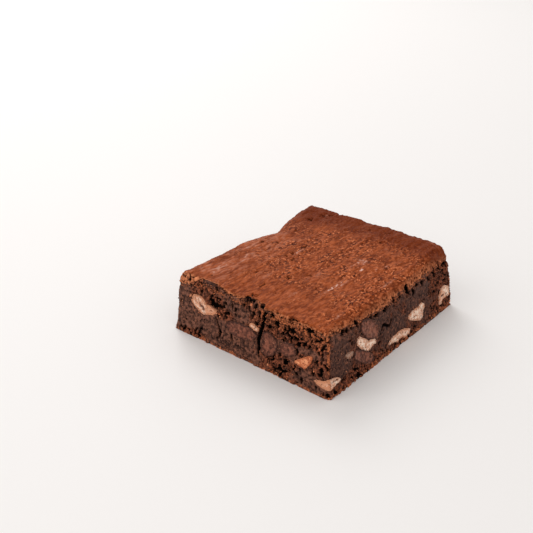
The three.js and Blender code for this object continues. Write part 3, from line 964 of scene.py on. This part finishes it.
def nut_face(places, nearest, along, from_rim):
    """Fibres, splits and chips across a cut nut, with a tan rim"""
    fibres = ripples(places * (1, 1, 2.2), 1.1, 6.0)
    hollows = spots(places, nearest, along, NUT_HOLLOWS, 0.3 * ripples(places, 0.6, 2.9))
    splits = 0.9 * (1 - ramp(np.abs(ripples(places, 2.4, 21.0)), 0.0, 0.07)) * ramp(fibres, -0.1, 0.3)
    relief = 0.1 * fibres + 0.08 * ripples(places, 0.5, 2.0) - hollows - 0.3 * splits
    relief -= 0.25 * (1 - ramp(from_rim, 0.0, 0.5))
    tan = 0.5 - 0.5 * ramp(from_rim + 0.5 * ripples(places, 0.9, 14.0), 0.0, 0.8)
    tan += 0.5 * ramp(fibres, 0.1, 0.6)
    for side, mid_along, mid_up, half, amount in TOASTED:
        reach = np.hypot(along - mid_along, places[:, 2] - mid_up) + ripples(places, 1.2, 5.0)
        tan += amount * (nearest == SIDES.index(side)) * (1 - ramp(reach, 0.5 * half, 1.2 * half))
    # Brown stains, and painted shade in the long front nut's notches
    stained = spots(places, nearest, along, STAINS_AND_SHADE, 0.3 * ripples(places, 0.9, 8.0))
    # The hollows and the splits are painted dark, as their shade
    return relief, {"tan": tan, "hollow": hollows + 0.7 * splits, "stained": stained}


FLESH_COLOURS = srgb(255, 226, 204), srgb(216, 147, 110), srgb(84, 44, 30)
SKIN_COLOURS = srgb(242, 160, 114), srgb(190, 99, 60), srgb(92, 42, 24)
# Brown of a stain, and painted shade in the long front nut's notches
NUT_STAIN_AND_SHADE = srgb(104, 62, 48)


def nut_look(name, pale, tan, dark):
    """A nut's flesh or skin, from pale through tan to the dark of its flecks and its hollows' painted shade
    """
    look, shader = material_named(name, 0.5, 0.15)
    tree = look.node_tree
    colour = flecked(tree, pale, tan, 1.2, 4, (0.44, 0.58), 0.8)
    colour = tinted(tree, colour, "tan", 0.1, 0.9, 1, tan)
    colour = flecked(tree, colour, dark, 0.8, 2, (0.6, 0.66), 0.6, (4, 4, 4))
    # Brown stains, and painted shade in the long front nut's notches
    colour = tinted(tree, colour, "stained", 0, 1, 1, NUT_STAIN_AND_SHADE)
    # Painted shade in the hollows and the splits
    colour = tinted(tree, colour, "hollow", 0.1, 0.7, 1, dark)
    tree.links.new(colour, shader.inputs["Base Color"])
    bumped(tree, shader, speckle(tree, 0.5, 3), 0.2)
    return look


flesh = nut_look("pale nut", *FLESH_COLOURS)
skin = nut_look("toasted nut", *SKIN_COLOURS)
for name in NUTS:
    toasted = name == "nut_front_skinned"
    nut = fitted_piece(name, skin if toasted else flesh, NUT_CELL, NUT_GROWTH, nut_face)

# The chocolate chunks
# Half melted in the oven and set again, then cut: smooth, close and a little paler than the crumb.
# The knife dragged one of them down the right side.

CHUNK_CELL = 0.3
CHUNK_GROWTH = 0.5
CHUNKS = [name for name in nodes if name.startswith("chunk_")]
CHUNK_DARK, CHUNK_PALE = srgb(84, 47, 36), srgb(146, 87, 67)
DRAGGED, FADED = srgb(160, 105, 84), srgb(66, 38, 30)
CHUNK_SPECK_DARK, CHUNK_SPECK_PALE = srgb(46, 24, 17), srgb(186, 122, 92)


def chunk_face(places, nearest, along, from_rim):
    """Faint drag marks across a cut chunk, which fades into the crumb at its rim"""
    drags = ripples(places * (1, 1, 0.25), 0.7, 3.0)
    relief = 0.12 * ripples(places, 1.8, 3.0) + 0.1 * ripples(places, 0.8, 6.3) + 0.05 * drags - 0.14
    relief += 0.22 * (1 - ramp(from_rim, 0, 0.6))
    faded = 1 - ramp(from_rim + 0.3 * ripples(places, 1.2, 1.0), 0.05, 0.5)
    smeared = bell(along, -17, 7) * bell(places[:, 2], 16.5, 5) * (nearest == RIGHT)
    return relief, {"faded": faded, "dragged": 0.35 + 0.5 * drags + smeared * (0.3 + 0.9 * drags)}


chunk_look, shader = material_named("set chocolate", 0.5, 0.12)
tree = chunk_look.node_tree
colour = mixed(tree, speckle(tree, 1.5, 5, (0.38, 0.62)), CHUNK_DARK, CHUNK_PALE)
colour = tinted(tree, colour, "dragged", 0.5, 1, 0.6, DRAGGED)
colour = tinted(tree, colour, "faded", 0, 1, 0.9, FADED)
colour = flecked(tree, colour, CHUNK_SPECK_DARK, 0.9, 2, (0.58, 0.65), 0.7, (7, 7, 1))
colour = flecked(tree, colour, CHUNK_SPECK_PALE, 0.8, 2, (0.62, 0.68), 0.6, (2, 5, 1))
tree.links.new(colour, shader.inputs["Base Color"])
bumped(tree, shader, speckle(tree, 0.6, 3), 0.2)
for name in CHUNKS:
    chunk = fitted_piece(name, chunk_look, CHUNK_CELL, CHUNK_GROWTH, chunk_face)

# The loose crumbs
# Grains that the knife broke off cling to the crumbly places, to the crust's ragged edge and all
# along the bottom edges, and bits of nut too small to count as pieces stick in the cut sides.

GRAIN_COUNT = 3200
GRAIN_SIZE = (0.16, 0.45)
GRAIN_SHAPE = (1.0, 0.8, 0.65)
BIT_SHAPE = (1.0, 0.75, 0.6)
DRAWS_SEED = 5
GRAIN_BROWNS = (48, 24, 16), (110, 62, 42)
GRAIN_RUSTS = (140, 70, 40), (198, 114, 72)

# Grains are made this many at a time, because the operator slows down as its mesh grows
GRAIN_BATCH = 130

# Bits of nut: side, place along it, height and radius
NUT_BITS = [
    ("front", -30.5, 17.5, 0.35),
    ("front", -30.2, 16.6, 0.5),
    ("front", -18.0, 15.0, 0.35),
    ("front", -1.0, 24.2, 0.8),
    ("front", 31.5, 18.7, 0.7),
    ("front", 9.8, 2.9, 0.6),
    ("front", 30.3, 9.1, 0.4),
    ("front", -16.2, 14.8, 0.6),
    ("front", -15.4, 14.0, 0.4),
    ("front", -28.9, 11.2, 0.25),
    ("front", -25.2, 8.7, 0.2),
    ("front", -34.9, 13.2, 0.25),
    ("front", -34.6, 10.8, 0.2),
    ("front", -26.1, 11.2, 0.35),
    ("front", -6.5, 14.9, 0.3),
    ("front", 12.6, 15.2, 0.3),
    ("front", 20.7, 3.6, 0.35),
    ("front", 13.0, 1.2, 0.35),
    ("front", 19.1, 1.7, 0.35),
    ("right", 44, 12.2, 0.6),
    ("right", 44.2, 2.6, 0.6),
    ("right", 34.8, 2.8, 0.5),
    ("right", 26.6, 2.9, 0.4),
    ("right", -35.0, 6.8, 0.35),
    ("right", -25.5, 2.3, 0.3),
    ("right", -12.8, 4.4, 0.3),
]


def scattered(name, centres, radii, shape):
    """Small rough grains round the centres, as one piece, and each vertex's grain number"""
    whole = bmesh.new()
    for start in range(0, len(centres), GRAIN_BATCH):
        batch = bmesh.new()
        for i in range(start, min(start + GRAIN_BATCH, len(centres))):
            turns = [math.tau * noise.cell(Vector((i, turn, 0.5))) for turn in (1.5, 2.5, 3.5)]
            turned = Euler(turns).to_matrix().to_4x4()
            sized = Matrix.Diagonal((*(radii[i] * MM * np.array(shape)), 1))
            moved = Matrix.Translation(Vector(centres[i]) * MM)
            bmesh.ops.create_icosphere(batch, subdivisions=1, radius=1, matrix=moved @ turned @ sized)
        mesh = bpy.data.meshes.new("batch")
        batch.to_mesh(mesh)
        batch.free()
        whole.from_mesh(mesh)
        bpy.data.meshes.remove(mesh)
    each = len(whole.verts) // len(centres)
    piece = new_piece(name, whole)
    places, normals = places_of(piece.data)
    numbers = np.repeat(np.arange(len(centres)), each)
    rough = 0.3 * np.asarray(radii)[numbers] * ripples(places, 0.3, 3.3)
    move_to(piece.data, places + normals * rough[:, None])
    piece.data.shade_smooth()
    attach(piece, "root")
    return piece, numbers


places, normals = places_of(crumb.data)
nearest, depth, along = on_sides(places)
inside = inside_crust(places, nearest, depth, along)
on_front, on_right = nearest == FRONT, nearest == RIGHT
z = places[:, 2]
layer = {}
for name in ("hollow", "crumbly", "corner"):
    layer[name] = np.empty(len(places), dtype=np.float32)
    crumb.data.attributes[name].data.foreach_get("value", layer[name])

# How likely a grain is to cling to each place: where it crumbles, and along the crumb's edges
chance = 0.03 + 0.4 * layer["crumbly"] ** 2
chance += 1.3 * bell(z, 0.7, 0.6)
chance += 0.9 * bell(inside, -0.3, 0.7) * (on_front | on_right)
chance += 1.2 * bell(z, RUSTY_LINE, 0.5) * on_front * (along > -29) * (along < -14)
chance += 0.8 * layer["corner"] * (z > 10)
chance *= (depth < 1.2) * (inside < 0.3) * (z > 0.3) * (layer["hollow"] < 0.7)

draws = np.random.RandomState(DRAWS_SEED)
chosen = draws.choice(len(places), GRAIN_COUNT, replace=False, p=chance / chance.sum())
radii = draws.uniform(*GRAIN_SIZE, GRAIN_COUNT) * (0.6 + 0.4 * draws.rand(GRAIN_COUNT))
centres = places[chosen] + normals[chosen] * 0.3 * radii[:, None]
centres = np.clip(centres, low + 1.2 * radii[:, None], high - 1.2 * radii[:, None])
grain_piece, numbers = scattered("clinging_grains", centres, radii, GRAIN_SHAPE)
near_edge = bell(z[chosen], 0.7, 1.2) + bell(inside[chosen], -0.3, 1.2) + 2 * layer["corner"][chosen]
tones = draws.rand(GRAIN_COUNT)
rustiness = 0.5 * near_edge * (0.4 + tones) + 0.25 * tones
paint(grain_piece.data, tone=tones[numbers], rusty=rustiness[numbers])

grain_look, shader = material_named("clinging grains", 0.6, 0.25)
tree = grain_look.node_tree
brown, rusty = (
    mixed(tree, painted(tree, "tone"), srgb(*dark), srgb(*pale))
    for dark, pale in (GRAIN_BROWNS, GRAIN_RUSTS)
)
colour = tinted(tree, brown, "rusty", 0.15, 0.6, 1, rusty)
tree.links.new(colour, shader.inputs["Base Color"])
dress(grain_piece, grain_look)

# Each bit of nut sits at the surface vertex that is closest to its place
bit_places, bit_radii = [], []
for side, bit_along, bit_up, radius in NUT_BITS:
    elsewhere = 100 * (nearest != SIDES.index(side))
    closest = (np.hypot(along - bit_along, z - bit_up) + elsewhere + 3 * depth).argmin()
    bit_places.append(places[closest] + 0.1 * FACES[nearest[closest]])
    bit_radii.append(radius)
bits, numbers = scattered("nut_bits", bit_places, bit_radii, BIT_SHAPE)
paint(bits.data, tan=0.4 + 0.4 * np.sin(numbers * 2.1), hollow=0 * numbers, stained=0 * numbers)
dress(bits, skin)

# Floor, light and camera
# A pale floor under a soft white sky, with a wide lamp at the back left that makes the crust shine
# and a wider, weaker one at the front left. Lengths here are in metres.

FLOOR_HALF_WIDTH = 3
FLOOR_COLOUR = (0.9, 0.875, 0.86, 1)
SKY_COLOUR = (1, 0.985, 0.97, 1)
SKY_STRENGTH = 0.74

# Square lamps that face the brownie: name, place, width and power
LAMPS = [
    ("back left", (-0.75, 0.45, 0.75), 0.6, 4.2),
    ("front left", (-0.5, -0.9, 0.8), 0.8, 2.6),
]

CAMERA_PLACE = Vector((0.17688, -0.26932, 0.19542))
CAMERA_AIM = Vector((-0.04226, 0.01948, 0.0))
CAMERA_ROLL = 2.01
SENSOR_MM, LENS_MM = 36, 60.79
NEAREST_SEEN = 0.01

bm = bmesh.new()
bmesh.ops.create_grid(bm, x_segments=1, y_segments=1, size=FLOOR_HALF_WIDTH)
floor = new_piece("floor", bm)
floor_look, shader = material_named("pale floor", 0.6)
shader.inputs["Base Color"].default_value = FLOOR_COLOUR
dress(floor, floor_look)

world = bpy.data.worlds.new("soft white room")
world.use_nodes = True
world.node_tree.nodes["Background"].inputs["Color"].default_value = SKY_COLOUR
world.node_tree.nodes["Background"].inputs["Strength"].default_value = SKY_STRENGTH
bpy.context.scene.world = world

for name, place, width, power in LAMPS:
    light = bpy.data.lights.new(name, "AREA")
    light.size = width
    light.energy = power
    lamp = bpy.data.objects.new(name, light)
    lamp.location = place
    lamp.rotation_euler = (-Vector(place)).to_track_quat("-Z", "Y").to_euler()
    bpy.context.scene.collection.objects.link(lamp)

camera_data = bpy.data.cameras.new("camera")
camera_data.sensor_width = SENSOR_MM
camera_data.lens = LENS_MM
camera_data.clip_start = NEAREST_SEEN
camera = bpy.data.objects.new("camera", camera_data)
turn = (CAMERA_AIM - CAMERA_PLACE).to_track_quat("-Z", "Y").to_matrix().to_4x4()
roll = Matrix.Rotation(math.radians(CAMERA_ROLL), 4, "Z")
camera.matrix_world = Matrix.Translation(CAMERA_PLACE) @ turn @ roll
bpy.context.scene.collection.objects.link(camera)
bpy.context.scene.camera = camera
bpy.context.scene.view_settings.view_transform = "Standard"
